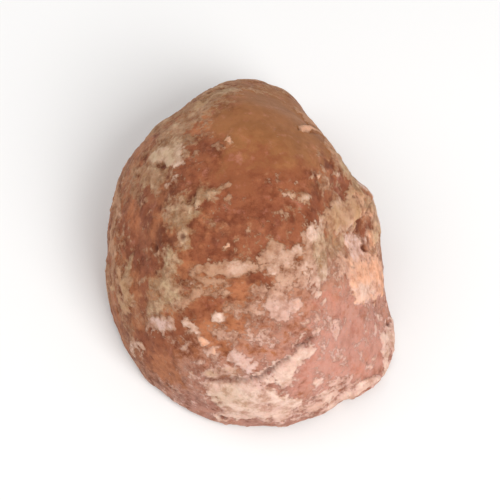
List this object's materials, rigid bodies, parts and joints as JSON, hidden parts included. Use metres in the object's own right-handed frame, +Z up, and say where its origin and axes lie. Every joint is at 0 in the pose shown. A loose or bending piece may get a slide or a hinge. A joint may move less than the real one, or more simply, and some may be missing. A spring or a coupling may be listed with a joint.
{
  "type": "jaggery lump",
  "caption": "Hand-sized mound of raw cane sugar, cast in a bowl, with a rounded skin mottled by pale bloom and a shallow craggy dish in its flat-rimmed underside.",
  "frame": {"origin": "middle of the base, on the surface that the lump rests on", "axes": "+Y along the lump towards its narrow end, +Z up through the rounded side, +X to the right of +Y seen from above"},
  "size_m": [0.0704, 0.0882, 0.0468],
  "materials": {
    "jaggery": "dry and slightly waxy, red brown, mottled with flaky pale pink and grey green sugar bloom"
  },
  "bodies": {
    "root": {"lump": "jaggery"}
  },
  "joints": []
}
